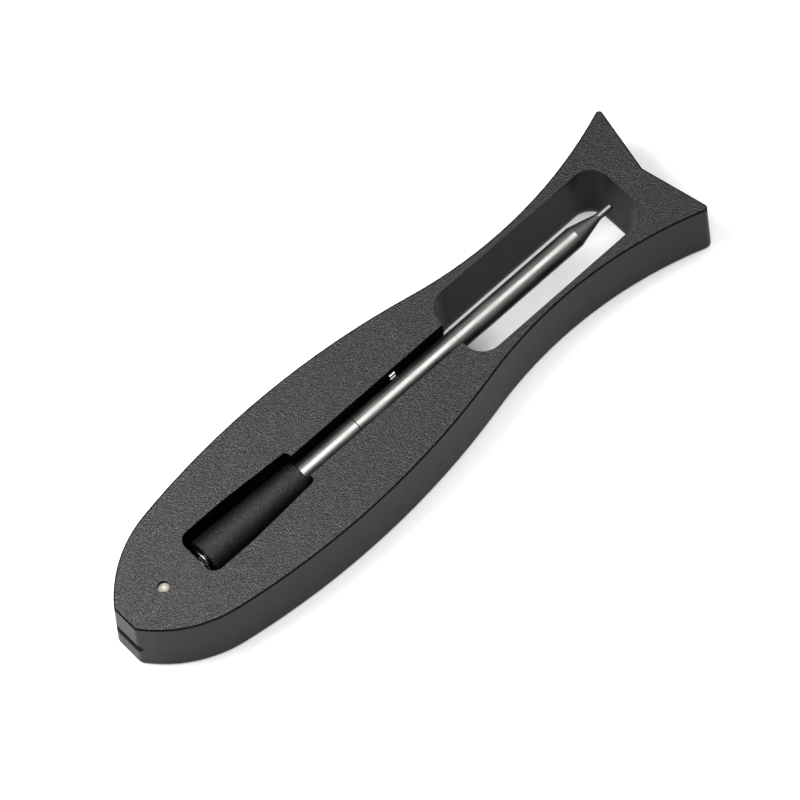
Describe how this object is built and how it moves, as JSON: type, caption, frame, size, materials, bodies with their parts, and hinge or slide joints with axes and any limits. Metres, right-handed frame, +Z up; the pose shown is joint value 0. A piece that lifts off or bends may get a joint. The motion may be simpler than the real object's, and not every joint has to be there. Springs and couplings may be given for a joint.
{
  "type": "meat thermometer",
  "caption": "Wireless meat thermometer probe with a tapered black handle, lying in a fish-shaped charging dock with a window near the tail.",
  "frame": {"origin": "on the surface it stands on, under the middle of the dock", "axes": "+X from the flat nose to the forked tail, +Y across the dock, +Z up"},
  "size_m": [0.1662, 0.0396, 0.018],
  "materials": {
    "panel_texture": "fine speckled texture",
    "black_moulding": "moulded black, low sheen",
    "charcoal_satin": "smooth satin",
    "base_black": "moulded black, matte",
    "screw_steel": "bright steel",
    "foot_rubber": "matte",
    "port_steel": "drawn steel",
    "tongue_black": "moulded",
    "board_green": "solder mask",
    "chip_black": "moulded",
    "led_body": "clear resin",
    "light_milky": "milky, satin",
    "battery_wrap": "foil wrap",
    "pad_foam": "closed-cell foam",
    "lead_jacket": "soft jacket",
    "contact_plating": "nickel-plated, bright",
    "handle_ceramic": "fine matte glaze",
    "cap_steel": "polished",
    "sleeve_plastic": "natural",
    "antenna_copper": "drawn copper",
    "sensor_bead": "glazed bead",
    "seal_black": "smooth",
    "stem_steel": "fine lengthwise brushing",
    "tip_steel": "ground and polished",
    "cell_steel": "can"
  },
  "bodies": {
    "dock": {"face_panel": "panel_texture", "top_cover": "black_moulding", "housing": "charcoal_satin", "bottom_cover": "base_black", "cover_screws": "screw_steel", "board_screws": "screw_steel", "rubber_feet": "foot_rubber", "port_shell": "port_steel", "port_tongue": "tongue_black", "main_board": "board_green", "board_chips": "chip_black", "status_led": "led_body", "light_pipe": "light_milky", "battery_cell": "battery_wrap", "battery_pad": "pad_foam", "battery_leads": "lead_jacket", "stem_contact_brackets": "contact_plating", "end_contact_bracket": "contact_plating"},
    "probe": {"handle_body": "handle_ceramic", "end_cap": "cap_steel", "insulating_sleeve": "sleeve_plastic", "antenna": "antenna_copper", "ambient_sensor": "sensor_bead", "handle_seal": "seal_black", "stem_tube": "stem_steel", "tip": "tip_steel", "tip_sensor": "sensor_bead", "probe_board": "board_green", "probe_cell": "cell_steel"},
    "stem_finger_far": {"stem_finger_far": "contact_plating"},
    "stem_finger_near": {"stem_finger_near": "contact_plating"},
    "end_finger": {"end_contact_finger": "contact_plating"}
  },
  "joints": [
    {"name": "probe_lift", "type": "slide", "parent": "dock", "child": "probe", "axis": [0, 0, 1], "range_m": [0, 0.03]},
    {"name": "stem_finger_far_flex", "type": "hinge", "parent": "dock", "child": "stem_finger_far", "pos_m": [0.00224, 0.00331, 0.01473], "axis": [1, 0, 0], "range_deg": [0, 5], "stiffness_Nm_per_rad": 0.02},
    {"name": "stem_finger_near_flex", "type": "hinge", "parent": "dock", "child": "stem_finger_near", "pos_m": [0.00224, -0.00331, 0.01473], "axis": [-1, 0, 0], "range_deg": [0, 5], "stiffness_Nm_per_rad": 0.02},
    {"name": "end_finger_flex", "type": "hinge", "parent": "dock", "child": "end_finger", "pos_m": [-0.06035, 0, 0.0081], "axis": [0, -1, 0], "range_deg": [0, 5], "stiffness_Nm_per_rad": 0.02}
  ]
}
